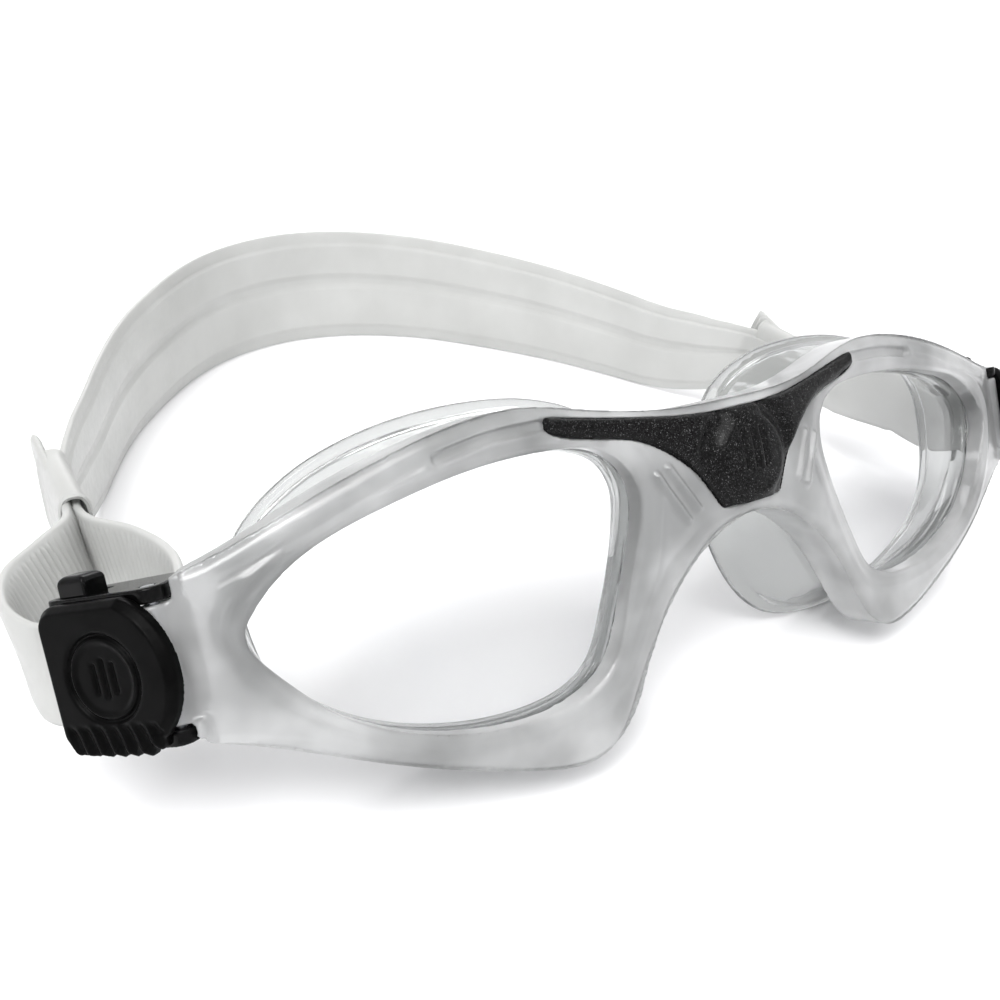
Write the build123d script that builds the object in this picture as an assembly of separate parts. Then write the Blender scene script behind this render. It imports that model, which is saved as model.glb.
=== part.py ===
from build123d import *
import math
import os

# Swim goggles.  Millimetres.  +X is the wearer's left, -Y is forward, +Z is up.
# The goggles stand on a table: the strap's lower edge and the skirts' lower rear edges
# touch z = 0, and the face leans back.  Front pieces are drawn in an upright face frame
# (x across, v up the face, n forward) and then leaned back.  Everything on one side is
# drawn for +X and mirrored.

# ---- face ---------------------------------------------------------------------------
LEAN = 27.0              # the face leans back from the vertical by this angle
PLAN_MIDDLE = 87.6       # half the depth of the whole part, so the origin is central in plan
FACE_LIFT = 4.5          # height of the face frame's origin above the table
LENS_SET = 3.2           # lens front, behind the frame's front surface
LENS_THICK = 1.8
LENS_EDGE = 1.2          # the lens reaches this far behind the opening's edge
FLANGE_THICK = 2.6       # skirt flange clamped behind the lens
FLANGE_EDGE = 2.2
FUNNEL_STEP = 1.1        # the funnel springs from this far inside the flange's edge
FUNNEL_ROOT = (42.5, -7.0, 0.09)    # x, depth and slope of the plane the funnel springs from
FUNNEL_REAR = (38.0, -15.2, 0.05)   # and of the plane of its rear edge
SKIRT_WALL = 1.3
INSERT_PROUD = 0.5       # the nose insert stands this proud of the frame
INSERT_SET = 1.6         # and reaches this deep into its pocket
CHANNEL_DEEP = 0.8       # groove that carries on from each insert arm
CHANNEL_WIDE = 1.5

# ---- buckle -------------------------------------------------------------------------
HINGE_X = 75.5           # hinge axis, parallel to v, in the face frame
HINGE_V = 27.0
HINGE_N = -8.24
BUCKLE_TURN = 52.0       # buckle plate turned back from the face
EAR_HALF = 8.6           # half the height over the two ears
CHEEK_IN = 6.9           # inner face of each cheek
PIN_R = 0.7              # hinge pin
KNUCKLE_R = 1.8
KNUCKLE_HALF = 6.6       # half the height of the frame's knuckle
EAR_R = 1.9
EAR_CLEAR = 0.5          # room round the ears in the frame
CHEEK_CLEAR = 0.25       # and beside the cheeks
SWING_REACH = 12.0       # the swing room runs out past the frame to this height
HOOD_WALL = 0.8          # wall in front of the lower ear, past its clearance
HOOD_FAN = (163, 190, 215)
HOOD_TOP = -6.4
SWING_IN = -4.0          # buckle swing towards the head, degrees
SWING_OUT = 14.0         # and away from it
RUN_CLEAR = 0.05         # radial running clearance of a pin
BAR_H = 2.2              # bar that the strap turns round, from the hinge axis
BAR_O = -4.6
BAR_R = 1.3
BAR_HALF = 8.0
CORNER_REAR = (11.8, 1.2)    # rounded rear corners of each cheek: place along h, and radius
CORNER_LOW = (11.6, -3.4, 1.0)
FLOOR = ((6.0, 12.6), (-4.4, -3.6))   # web that ties the cheeks together, along h and o
COVER_IN = 1.9           # cover plate, from its inner face to its outer face
COVER_OUT = 3.8
COVER_EDGE = 1.0         # straight part of the cover's edge, below the bevel
COVER_BEVEL = 40.0
COVER_CORNER = 2.5
COVER_START = 1.8        # the cover's square rear part begins here
COVER_FRONT_R = 9.0      # front edge of the cover, an arc about the ring's centre
RING_H = 5.2
RING_R = 4.7
RING_GROOVE = 0.25       # depth and half-width of the ring engraved in the cover
COVER_REAR = 13.2
COVER_HALF = 8.2
GRIP_TEETH = 6           # scallops along the cover's lower edge
TOOTH_FIRST = 3.0
TOOTH_PITCH = 1.75
TOOTH_R = 0.75
TOOTH_OUT = 0.15
PAWL_H = 7.4             # pawl pivot
PAWL_O = -2.75
PAWL_PIN_R = 0.35
PAWL_PIN_HALF = 7.8
PAWL_HUB_R = 0.65
PAWL_HALF = 6.2          # half the pawl's height
PAWL_ARM = [(7.4, -3.3), (9.9, -2.7), (10.0, -1.4), (9.3, -1.7), (7.5, -2.2)]
PAWL_RAMP = [(0.5, -1.2), (2.3, -2.4), (4.9, -2.4), (4.9, -1.2)]
RAMP_FROM = 9.2
NUB = ((7.6, 11.4), (7.7, 10.9), (-2.2, 1.1))        # release nub, along h, v and o
NUB_ROUND = 0.9
NUB_SLOT = ((7.3, 11.7), (6.0, 9.0), (-2.7, 1.3))    # its slot in the upper cheek
FINGER = ((9.6, 10.8), (3.0, 4.4), (-1.9, -1.5))     # finger that bears on the pawl's ramp
STEM_H = 11.0
STEM_O = -1.9
STEM_R = 0.6
STEM_LOW = 2.5
STEM_TOP = 7.9
SPRING_TURNS = 7
SPRING_R = 0.6
SPRING_WIRE = 0.14
SPRING_TOP = 2.3
SPRING_CLEAR = 0.15

# ---- strap --------------------------------------------------------------------------
TAIL_SLOPE = 15.0        # the strap climbs this much from the bar to the cover's rear edge
WRAP_FROM = 90 + TAIL_SLOPE   # the strap lies on the bar between these angles
WRAP_TO = 180 + BUCKLE_TURN
STRAP_WIDE = 12.0        # ribbed ends
STRAP_THICK = 1.5
STRAP_GAP = 0.05         # between the strap and the bar
TAIL_INSIDE = 12.6       # straight stretch from the bar to the cover's rear edge
BAND_THICK = 1.8
BAND_HIGH = 30.5         # band height behind the head
LOOP_DEPTH = 174.5       # face to the middle of the band
KEEPER_OUTER = (8.8, 18.2, 2.4)     # width, height and corner radius
KEEPER_WALL = 0.9
KEEPER_REAR = (77.6, 78.0, 17.3)
KEEPER_LONG = 15.0

FACE = Plane(
    origin=(0, 0, FACE_LIFT),
    x_dir=(1, 0, 0),
    z_dir=(0, -math.cos(math.radians(LEAN)), math.sin(math.radians(LEAN))),
)
TURN_S = math.sin(math.radians(BUCKLE_TURN))
TURN_C = math.cos(math.radians(BUCKLE_TURN))
# Buckle frame inside the face frame: h runs back along the plate, v up, o outward.
BUCKLE = Plane(
    origin=(HINGE_X, HINGE_V, HINGE_N),
    x_dir=(TURN_C, 0, -TURN_S),
    z_dir=(TURN_S, 0, TURN_C),
)

# Outlines on the face, for the +X eye, as (x, v).
OPENING = [
    (67.0, 29.4), (60.6, 34.8), (50, 38.2), (38, 40.1), (28, 40.1), (20.2, 38.0),
    (17.4, 33.5), (18.4, 27.0), (21.6, 18.6), (25.6, 11.4), (32, 8.6), (42, 9.0),
    (52, 12.0), (59.6, 16.6), (65.0, 22.6),
]
SKIRT_REAR = [
    (66.2, 30), (63.4, 37.6), (55.6, 43.4), (45, 46.7), (33, 47.7), (21, 46.4),
    (12, 42.2), (7.0, 34.0), (6.0, 24.0), (8.8, 13.6), (14.4, 6.6), (23, 3.4),
    (34, 2.8), (47, 5.0), (57.4, 9.8), (64.4, 18.0),
]
FRAME_TOP = [(0, 41.8), (10, 42.0), (20, 43.6), (31, 46.0), (44, 44.9), (58, 41.0), (70, 37.0), (77.6, 35.4)]
FRAME_LOW = [
    (77.6, 18.8), (68.3, 15.7), (56.3, 9.8), (46.4, 5.4), (36.4, 1.7), (29.4, 0.7),
    (24.6, 3.2), (19.4, 11.4), (14.2, 18.7), (7, 24.2), (0, 26.0),
]
INSERT_TOP = [(0, 40.4), (8, 40.7), (17, 42.0), (28.2, 44.2)]
INSERT_LOW = [(28.4, 42.3), (22.4, 40.4), (16.4, 38.9), (12, 36.2), (8.7, 33.0), (6.8, 30.0), (5.4, 27.6)]
FRONT_CURVE = [(0, 4.2), (13, 3.0), (25, 0.6), (40, -0.4), (54, -1.7), (66, -4.1), (73, -6.2), (77.4, -8.2)]
BACK_CURVE = [(74.2, -9.7), (66, -9.2), (56, -9.4), (40, -7.7), (25, -6.4), (13, -4.4), (0, -3.4)]


def mirrored(points):
    return [(-x, y) for x, y in points]


def polar(radius, degrees):
    return radius * math.cos(math.radians(degrees)), radius * math.sin(math.radians(degrees))


def closed(points):
    return make_face(Spline(*points, periodic=True))


def grown(points, by):
    """Clockwise outline points, each pushed outward along the local normal."""
    moved = []
    for i, (x, y) in enumerate(points):
        before = points[i - 1]
        after = points[(i + 1) % len(points)]
        dx = after[0] - before[0]
        dy = after[1] - before[1]
        long = math.hypot(dx, dy)
        moved.append((x + by * dy / long, y - by * dx / long))
    return closed(moved)


def tall(profile):
    """A profile drawn in x and n, carried up through the whole height of the face."""
    return Pos(0, -6, 0) * extrude(Plane.XZ * profile, amount=-62)


def slab(front_shift, back_shift):
    """Curved sheet between two depths measured from the face's front surface."""
    curve = Spline(*(mirrored(FRONT_CURVE)[::-1] + FRONT_CURVE[1:]))
    front = Pos(0, front_shift) * curve
    back = Pos(0, back_shift) * curve
    return tall(make_face(Curve() + [front, back, Line(front @ 0, back @ 0), Line(front @ 1, back @ 1)]))


def prism(face):
    """A face outline pushed through the whole depth of the face frame."""
    return Pos(0, 0, -40) * extrude(face, amount=60)


def buckle_part(shape):
    """From the buckle frame to the face frame."""
    return BUCKLE.location * shape


def rod(radius, h, o, low, high):
    """A cylinder along v in the buckle frame."""
    return Pos(h, (low + high) / 2, o) * Rot(90, 0, 0) * Cylinder(radius, high - low)


def frame_blank():
    front = Spline(*(mirrored(FRONT_CURVE)[::-1] + FRONT_CURVE[1:]))
    back = Spline(*(BACK_CURVE + mirrored(BACK_CURVE)[::-1][1:]))
    body = tall(make_face(Curve() + [front, back, Line(front @ 1, back @ 0), Line(front @ 0, back @ 1)]))
    top = Spline(*(mirrored(FRAME_TOP)[::-1] + FRAME_TOP[1:]))
    low = Spline(*(FRAME_LOW + mirrored(FRAME_LOW)[::-1][1:]))
    outline = make_face(Curve() + [top, low, Line(top @ 1, low @ 0), Line(top @ 0, low @ 1)])
    return body & prism(outline)


def lens():
    return slab(-LENS_SET, -LENS_SET - LENS_THICK) & prism(grown(OPENING, LENS_EDGE))


def flange():
    """Edge of the skirt that is clamped between the lens and the frame."""
    ring = grown(OPENING, FLANGE_EDGE) - closed(OPENING)
    front = -LENS_SET - LENS_THICK
    return slab(front, front - FLANGE_THICK) & prism(ring)


def on_slope(where, outline):
    """An outline laid on a plane that leans back towards the temple."""
    x, n, slope = where
    plane = Plane(origin=(x, 0, n), x_dir=(1, 0, -slope), z_dir=(slope, 0, 1))
    return plane * Pos(-x, 0) * outline


def skirt_funnel(shrink):
    """Flaring funnel from behind the lens back to the face, for one eye."""
    root = on_slope(FUNNEL_ROOT, grown(OPENING, FLANGE_EDGE - FUNNEL_STEP - shrink))
    rear = on_slope(FUNNEL_REAR, grown(SKIRT_REAR, -shrink))
    return loft([root, rear], ruled=True)


def skirt():
    return flange() + (skirt_funnel(0) - skirt_funnel(SKIRT_WALL)) - lens()


def insert_outline():
    top = Spline(*(mirrored(INSERT_TOP)[::-1] + INSERT_TOP[1:]))
    right = Spline(*INSERT_LOW)
    left = Spline(*mirrored(INSERT_LOW)[::-1])
    edges = [top, Line(top @ 1, right @ 0), right, Line(right @ 1, left @ 0), left, Line(left @ 1, top @ 0)]
    return make_face(Curve() + edges)


def bridge_insert():
    return slab(INSERT_PROUD, -INSERT_SET) & prism(insert_outline())


def channel():
    """Shallow groove along the brow that carries on from the insert's arm."""
    line = Spline((28.4, 43.3), (36, 43.2), (43, 42.2))
    return slab(1, -CHANNEL_DEEP) & prism(trace(line, CHANNEL_WIDE))


# ---- buckle pieces, in the buckle frame ---------------------------------------------

def cheek_profile(extra=0):
    """Side plate shape: a hull round the ear, the strap bar and the two rear corners."""
    rounds = [
        Circle(EAR_R + extra),
        Pos(BAR_H, BAR_O) * Circle(BAR_R + 1.0 + extra),
        Pos(CORNER_REAR[0], COVER_IN - CORNER_REAR[1]) * Circle(CORNER_REAR[1] + extra),
        Pos(CORNER_LOW[0], CORNER_LOW[1]) * Circle(CORNER_LOW[2] + extra),
    ]
    return make_hull([edge for shape in rounds for edge in shape.edges()])


def cheek(low, high):
    return Pos(0, low, 0) * extrude(Plane.XZ * cheek_profile(), amount=low - high)


def block(h, v, o):
    """A box between pairs of bounds along h, v and o."""
    size = [pair[1] - pair[0] for pair in (h, v, o)]
    middle = [(pair[1] + pair[0]) / 2 for pair in (h, v, o)]
    return Pos(*middle) * Box(*size)


def buckle_base():
    floor = block(FLOOR[0], (-CHEEK_IN, CHEEK_IN), FLOOR[1])
    base = cheek(-EAR_HALF, -CHEEK_IN) + cheek(CHEEK_IN, EAR_HALF) + floor
    base -= rod(PIN_R, 0, 0, -EAR_HALF, EAR_HALF)
    base -= rod(BAR_R, BAR_H, BAR_O, -BAR_HALF, BAR_HALF)
    base -= rod(PAWL_PIN_R, PAWL_H, PAWL_O, -PAWL_PIN_HALF, PAWL_PIN_HALF)
    base -= block(*NUB_SLOT)
    return base


def cover_outline():
    front = Pos(RING_H, 0) * Circle(COVER_FRONT_R) & Pos(RING_H - 5, 0) * Rectangle(10, 2 * COVER_HALF)
    rear_long = COVER_REAR - COVER_START
    rear = Pos(COVER_START + rear_long / 2, 0) * RectangleRounded(rear_long, 2 * COVER_HALF, COVER_CORNER)
    return front + rear


def buckle_cover():
    bevel = COVER_OUT - COVER_IN - COVER_EDGE
    plate = Pos(0, 0, COVER_IN) * extrude(cover_outline(), amount=COVER_EDGE)
    plate += Pos(0, 0, COVER_IN + COVER_EDGE) * extrude(cover_outline(), amount=bevel, taper=COVER_BEVEL)
    ring = Circle(RING_R + RING_GROOVE) - Circle(RING_R - RING_GROOVE)
    plate -= Pos(RING_H, 0, COVER_OUT - RING_GROOVE) * extrude(ring, amount=1)
    for i in range(GRIP_TEETH):
        plate -= Pos(TOOTH_FIRST + TOOTH_PITCH * i, -COVER_HALF - TOOTH_OUT, 0) * Cylinder(TOOTH_R, 20)
    return plate


def release_button():
    nub = block(*NUB)
    nub = fillet(nub.faces().sort_by(Axis.Y)[-1].edges(), NUB_ROUND)
    stem = rod(STEM_R, STEM_H, STEM_O, STEM_LOW, STEM_TOP)
    return nub + stem + block(*FINGER)


def button_spring():
    long = SPRING_TOP + CHEEK_IN - 0.2 - 2 * SPRING_CLEAR
    coil = Helix(pitch=long / SPRING_TURNS, height=long, radius=SPRING_R)
    wire = Plane(origin=coil @ 0, z_dir=coil % 0) * Circle(SPRING_WIRE)
    spring = sweep(wire, path=coil)
    return Pos(STEM_H, SPRING_TOP - SPRING_CLEAR, STEM_O) * Rot(90, 0, 0) * spring


def pawl():
    """Toothed latch: a hub on the pin and an arm whose tip bites the strap's ribs."""
    arm = make_face(Polyline(*PAWL_ARM, close=True))
    body = Pos(0, -PAWL_HALF, 0) * extrude(Plane.XZ * arm, amount=-2 * PAWL_HALF)
    body += rod(PAWL_HUB_R, PAWL_H, PAWL_O, -PAWL_HALF, PAWL_HALF)
    ramp = make_face(Polyline(*PAWL_RAMP, close=True))
    body -= Pos(RAMP_FROM, 0, 0) * extrude(Plane.YZ * ramp, amount=2)
    body -= rod(PAWL_PIN_R + RUN_CLEAR, PAWL_H, PAWL_O, -PAWL_HALF, PAWL_HALF)
    return body


def strap_wrap():
    """The stretch of strap that lies round the bar."""
    inner = BAR_R + STRAP_GAP
    sector = Circle(inner + STRAP_THICK) - Circle(inner)
    fan = make_face(Polyline((0, 0), *[polar(8, a) for a in (WRAP_FROM, 150, 190, WRAP_TO)], close=True))
    sector = sector & fan
    return Pos(BAR_H, -STRAP_WIDE / 2, BAR_O) * extrude(Plane.XZ * sector, amount=-STRAP_WIDE)


# ---- strap, in the row frame --------------------------------------------------------


def row_point(h, v, o):
    """A point of the buckle frame, given in the row frame."""
    return (FACE.location * BUCKLE.location * Pos(h, v, o)).position


def strip(stations, thick, first):
    """Soft strip through (x, y, z, width, lean, tip) stations, setting off along first.

    lean tips the strip's upper edge outward, and tip tips it backward.
    """
    points = [Vector(s[0], s[1], s[2]) for s in stations]
    faces = []
    for i, (x, y, z, width, lean, tip) in enumerate(stations):
        along = points[min(i + 1, len(points) - 1)] - points[max(i - 1, 0)]
        if i == 0:
            along = Vector(first)
        plane = Plane(origin=points[i], x_dir=(lean, tip, 1), z_dir=along)
        faces.append(plane * Rectangle(width, thick))
    return loft(faces, ruled=True)


# Stations past the buckle: x, y, z, width, lean and tip.
RUN_PATH = [
    (70.0, 36.0, 21.6, STRAP_WIDE, 0, 0.2),
    (71.8, 48.0, 19.5, STRAP_WIDE, 0, 0.1),
    (75.0, 60.0, 16.8, STRAP_WIDE, 0, 0),
    (75.3, 65.0, 16.0, STRAP_WIDE, 0, 0),
]
TAIL_PATH = [
    (87.0, 32.0, 19.8, STRAP_WIDE, 0, 0.25),
    (88.0, 38.0, 20.0, STRAP_WIDE, 0.14, 0),
    (86.4, 46.0, 19.3, STRAP_WIDE, 0.36, 0.1),
    (82.6, 54.0, 17.8, STRAP_WIDE, 0.42, 0.1),
    (79.4, 62.5, 17.2, STRAP_WIDE, 0.10, 0),
    (79.2, 72.0, 17.6, STRAP_WIDE, 0.06, 0),
    (79.1, 82.0, 20.0, STRAP_WIDE, 0.05, -0.2),
]


def strap_run():
    offset_r = BAR_R + STRAP_GAP + STRAP_THICK / 2
    turn = polar(offset_r, WRAP_TO)
    start = row_point(BAR_H + turn[0], 0, BAR_O + turn[1])
    straight = Vector(0, math.cos(math.radians(LEAN)), -math.sin(math.radians(LEAN)))
    clear = start + straight * 4
    stations = [
        (start.X, start.Y, start.Z, STRAP_WIDE, 0, 0.51),
        (clear.X, clear.Y, clear.Z, STRAP_WIDE, 0, 0.51),
    ]
    return strip(stations + RUN_PATH, STRAP_THICK, straight)


def strap_tail():
    """From the bar, out under the cover, round the loose bight and back to the keeper."""
    offset_r = BAR_R + STRAP_GAP + STRAP_THICK / 2
    top = polar(offset_r, WRAP_FROM)
    inside = Pos(BAR_H + top[0], 0, BAR_O + top[1]) * Rot(0, -TAIL_SLOPE, 0)
    inside = inside * Pos(TAIL_INSIDE / 2, 0, 0) * Box(TAIL_INSIDE, STRAP_WIDE, STRAP_THICK)
    end = polar(TAIL_INSIDE, TAIL_SLOPE)
    exit_point = row_point(BAR_H + top[0] + end[0], 0, BAR_O + top[1] + end[1])
    stations = [
        (exit_point.X, exit_point.Y, exit_point.Z, STRAP_WIDE, 0, 0.51),
    ]
    leaving = exit_point - row_point(BAR_H + top[0], 0, BAR_O + top[1])
    outside = strip(stations + TAIL_PATH, STRAP_THICK, leaving)
    return FACE.location * BUCKLE.location * (strap_wrap() + inside), outside


BAND_PATH = [(75.4, 66), (76.2, 78), (68.4, 104), (52.6, 136), (28, 164.5), (0, LOOP_DEPTH)]
BAND_SIDE = [
    (60, 22.0), (66, 22.0), (80, 22.8), (104, 22.2), (136, 26.2), (160, 28.6), (180, BAND_HIGH),
    (180, 0), (104, 0), (92, 3.0), (80, 9.4), (66, 10.0), (60, 10.0),
]


def strap_band():
    path = Spline(*(BAND_PATH + mirrored(BAND_PATH)[::-1][1:]))
    wall = Plane(origin=path @ 0, x_dir=(0, 0, 1), z_dir=path % 0)
    band = sweep(wall * Pos(BAND_HIGH / 2, 0) * Rectangle(BAND_HIGH, BAND_THICK), path=path)
    side = make_face(Polyline(*BAND_SIDE, close=True))
    return band & Pos(-100, 0, 0) * extrude(Plane.YZ * side, amount=200)


def strap_keeper():
    """Sleeve round the band's narrow end and the tucked tail."""
    wide, high, corner = KEEPER_OUTER
    sleeve = RectangleRounded(wide, high, corner)
    sleeve -= RectangleRounded(wide - 2 * KEEPER_WALL, high - 2 * KEEPER_WALL, corner - KEEPER_WALL + 0.1)
    return Pos(*KEEPER_REAR) * Rot(90, 0, 0) * extrude(sleeve, amount=KEEPER_LONG)


# ---- front frame with its pockets ---------------------------------------------------

def swing_room():
    """Space that the ears and cheeks sweep as the buckle swings, above and below the knuckle."""
    room = []
    for angle in (SWING_IN, 0, SWING_OUT / 2, SWING_OUT):
        profile = Rot(0, 0, angle) * cheek_profile(EAR_CLEAR)
        for low in (-SWING_REACH, CHEEK_IN - CHEEK_CLEAR):
            high = low + SWING_REACH - CHEEK_IN + CHEEK_CLEAR
            room.append(Pos(0, low, 0) * extrude(Plane.XZ * profile, amount=low - high))
    return buckle_part(Part() + room)


def ear_hood():
    """Thin wall that closes the frame in front of the buckle's lower ear."""
    wall = Circle(EAR_R + EAR_CLEAR + HOOD_WALL) - Circle(EAR_R)
    fan = make_face(Polyline((0, 0), *[polar(8, a) for a in HOOD_FAN], close=True))
    low = -EAR_HALF + 0.2
    return buckle_part(Pos(0, low, 0) * extrude(Plane.XZ * (wall & fan), amount=low - HOOD_TOP))


def front_frame():
    body = frame_blank()
    body -= prism(closed(OPENING)) + prism(closed(mirrored(OPENING)))
    pocket = slab(-LENS_SET, -30) & prism(grown(OPENING, LENS_EDGE))
    groove = slab(-LENS_SET - LENS_THICK, -30) & prism(grown(OPENING, FLANGE_EDGE))
    knuckle = buckle_part(rod(KNUCKLE_R, 0, 0, -KNUCKLE_HALF, KNUCKLE_HALF))
    swing = swing_room()
    bore = buckle_part(rod(PIN_R + RUN_CLEAR, 0, 0, -7, 7))
    for cut in (pocket, groove, skirt_funnel(0), channel()):
        body = body - cut - mirror(cut, Plane.YZ)
    body -= bridge_insert()
    for joined in (knuckle, ear_hood()):
        body = body + joined + mirror(joined, Plane.YZ)
    for cut in (swing, bore):
        body = body - cut - mirror(cut, Plane.YZ)
    return body


def save(node, shape):
    """Each node goes out as its plain solids."""
    solids = (Pos(0, -PLAN_MIDDLE, 0) * shape).solids()
    export_step(solids[0] if len(solids) == 1 else Compound(solids), f"parts/{node}.step")


def save_pair(node, shape):
    save(f"{node}_left", shape)
    save(f"{node}_right", mirror(shape, Plane.YZ))


def main():
    os.makedirs("parts", exist_ok=True)
    lean = FACE.location
    save("front_frame", lean * front_frame())
    save("bridge_insert", lean * bridge_insert())
    save_pair("lens", lean * lens())
    save_pair("skirt", lean * skirt())
    buckle = {
        "buckle_base": buckle_base(),
        "buckle_cover": buckle_cover(),
        "hinge_pin": rod(PIN_R, 0, 0, -EAR_HALF, EAR_HALF),
        "strap_bar": rod(BAR_R, BAR_H, BAR_O, -BAR_HALF, BAR_HALF),
        "pawl_pin": rod(PAWL_PIN_R, PAWL_H, PAWL_O, -PAWL_PIN_HALF, PAWL_PIN_HALF),
        "pawl": pawl(),
        "release_button": release_button(),
        "button_spring": button_spring(),
    }
    for node, shape in buckle.items():
        save_pair(node, lean * buckle_part(shape))
    inside, outside = strap_tail()
    save_pair("strap_tail", inside + outside)
    save_pair("strap_run", strap_run())
    save_pair("strap_keeper", strap_keeper())
    save("strap_band", strap_band())


main()
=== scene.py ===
import math

import bmesh
import bpy
import numpy as np
from mathutils import Matrix, Vector


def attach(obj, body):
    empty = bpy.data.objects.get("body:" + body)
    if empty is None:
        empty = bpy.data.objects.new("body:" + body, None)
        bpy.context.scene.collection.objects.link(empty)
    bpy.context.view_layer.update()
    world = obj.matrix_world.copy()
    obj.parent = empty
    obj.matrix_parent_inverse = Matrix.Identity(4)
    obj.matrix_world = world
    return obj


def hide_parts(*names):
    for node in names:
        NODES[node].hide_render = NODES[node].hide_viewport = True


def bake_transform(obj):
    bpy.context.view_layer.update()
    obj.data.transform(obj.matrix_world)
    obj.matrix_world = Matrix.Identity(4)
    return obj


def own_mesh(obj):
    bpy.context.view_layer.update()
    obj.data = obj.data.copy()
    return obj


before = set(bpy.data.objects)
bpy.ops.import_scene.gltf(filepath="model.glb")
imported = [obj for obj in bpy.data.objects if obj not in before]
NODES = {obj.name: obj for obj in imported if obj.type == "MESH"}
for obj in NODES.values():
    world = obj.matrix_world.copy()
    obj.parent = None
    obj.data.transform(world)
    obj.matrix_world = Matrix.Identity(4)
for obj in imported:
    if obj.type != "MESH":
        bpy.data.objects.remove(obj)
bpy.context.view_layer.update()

# Swim goggles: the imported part's shape dressed as moulded plastic and silicone.
# A shape's lengths are millimetres until place() turns them into metres in the row frame.
# The floor, lights and camera are in metres from the start.

SIDES = (("left", 1), ("right", -1))

# ---- the part's own frames ----------------------------------------------------------
# Face: x across, v up the leaning face and n out of it. Buckle: h away from the hinge, v, o out.
LEAN = math.radians(27)
FACE_LIFT = 4.5           # height of the face's origin above the floor
PLAN_MIDDLE = 87.6        # from the face's origin back to the row frame's origin
HINGE = (75.5, 27.0, -8.24)     # buckle's origin on the face
TURN = math.radians(52)   # buckle's turn about v
BAR_H, BAR_O = 2.2, -4.6  # strap bar, in the buckle frame
WRAP_RADIUS = 2.15        # strap's mid-line round the bar
TAIL_SLOPE = math.radians(15)

# ---- outlines on the face, +X eye, as (x, v) ------------------------------------------
OPENING = [
    (67.0, 29.4), (60.6, 34.8), (50, 38.2), (38, 40.1), (28, 40.1), (20.2, 38.0),
    (17.4, 33.5), (18.4, 27.0), (21.6, 18.6), (25.6, 11.4), (32, 8.6), (42, 9.0),
    (52, 12.0), (59.6, 16.6), (65.0, 22.6),
]
SKIRT_REAR = [
    (66.2, 30), (63.4, 37.6), (55.6, 43.4), (45, 46.7), (33, 47.7), (21, 46.4),
    (12, 42.2), (7.0, 34.0), (6.0, 24.0), (8.8, 13.6), (14.4, 6.6), (23, 3.4),
    (34, 2.8), (47, 5.0), (57.4, 9.8), (64.4, 18.0),
]
FRAME_EDGE = [
    (0, 41.8), (10, 42.0), (20, 43.6), (31, 46.0), (44, 44.9), (58, 41.0), (70, 37.0),
    (77.6, 35.4), (80, 27), (77.6, 18.8), (68.3, 15.7), (56.3, 9.8), (46.4, 5.4), (36.4, 1.7),
    (29.4, 0.7), (24.6, 3.2), (19.4, 11.4), (14.2, 18.7), (7, 24.2), (0, 26.0),
]
# Front and back surfaces of the frame across the face, as (x, n).
FRONT_CURVE = [
    (0, 4.2), (13, 3.0), (25, 0.6), (40, -0.4), (54, -1.7), (66, -4.1), (73, -6.2), (77.4, -8.2),
]
BACK_CURVE = [(0, -3.4), (13, -4.4), (25, -6.4), (40, -7.7), (56, -9.4), (66, -9.2), (74.2, -9.7)]
# Groove that carries on from each insert arm, and the fainter line that follows it down the brow.
CHANNEL = [(28.4, 43.3), (36, 43.2), (43, 42.2)]
BROW_LINE = [(45.5, 41.6), (52, 39.9), (60, 37.2), (69, 34.4)]

# Nose insert, +X half.
INSERT_TOP = [(0, 40.4), (8, 40.7), (17, 42.0), (28.2, 44.2)]
INSERT_LOW = [(28.4, 42.3), (22.4, 40.4), (16.4, 38.9), (12, 36.2), (8.7, 33.0), (6.8, 30.0), (5.4, 27.6)]

EYE_CENTRE = (41.0, 24.5)      # middle of an opening
REAR_CENTRE = (37.0, 25.0)     # middle of a skirt's rear edge


# ---- curves and frames ----------------------------------------------------------------

def spline(points, step, closed=False):
    """Even points along a Catmull-Rom curve through rows of numbers."""
    p = np.array(points, float)
    if closed:
        p = np.vstack([p[-1], p, p[0], p[1]])
    else:
        p = np.vstack([2 * p[0] - p[1], p, 2 * p[-1] - p[-2]])
    out = []
    for a, b, c, d in zip(p[:-3], p[1:-2], p[2:-1], p[3:]):
        t = np.linspace(0, 1, 24, endpoint=False)[:, None]
        out.append(0.5 * (2 * b + (c - a) * t + (2 * a - 5 * b + 4 * c - d) * t ** 2
                          + (3 * b - a - 3 * c + d) * t ** 3))
    if not closed:
        out.append(p[-2][None])
    curve = np.vstack(out)
    if closed:
        curve = np.vstack([curve, curve[:1]])
    places = np.r_[0, np.cumsum(np.linalg.norm(np.diff(curve[:, :3], axis=0), axis=1))]
    count = max(int(places[-1] / step), 3)
    want = np.linspace(0, places[-1], count + 1)
    if closed:
        want = want[:-1]
    return np.column_stack([np.interp(want, places, curve[:, i]) for i in range(curve.shape[1])])


def grown(loop, amount):
    """A closed outline, drawn either way round, pushed outward along its own normals."""
    along = np.roll(loop, -1, 0) - np.roll(loop, 1, 0)
    normal = np.column_stack([along[:, 1], -along[:, 0]])
    normal /= np.linalg.norm(normal, axis=1)[:, None]
    if np.sum((loop - loop.mean(0)) * normal) < 0:
        normal = -normal
    return loop + normal * amount


def by_angle(loop, centre, angles):
    """Points of a star-shaped outline at the given angles round a centre."""
    d = loop - np.array(centre)
    turn = np.arctan2(d[:, 1], d[:, 0])
    order = np.argsort(turn)
    reach = np.interp(angles, turn[order], np.hypot(*d[order].T), period=2 * math.pi)
    return np.array(centre) + np.column_stack([np.cos(angles), np.sin(angles)]) * reach[:, None]


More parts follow.
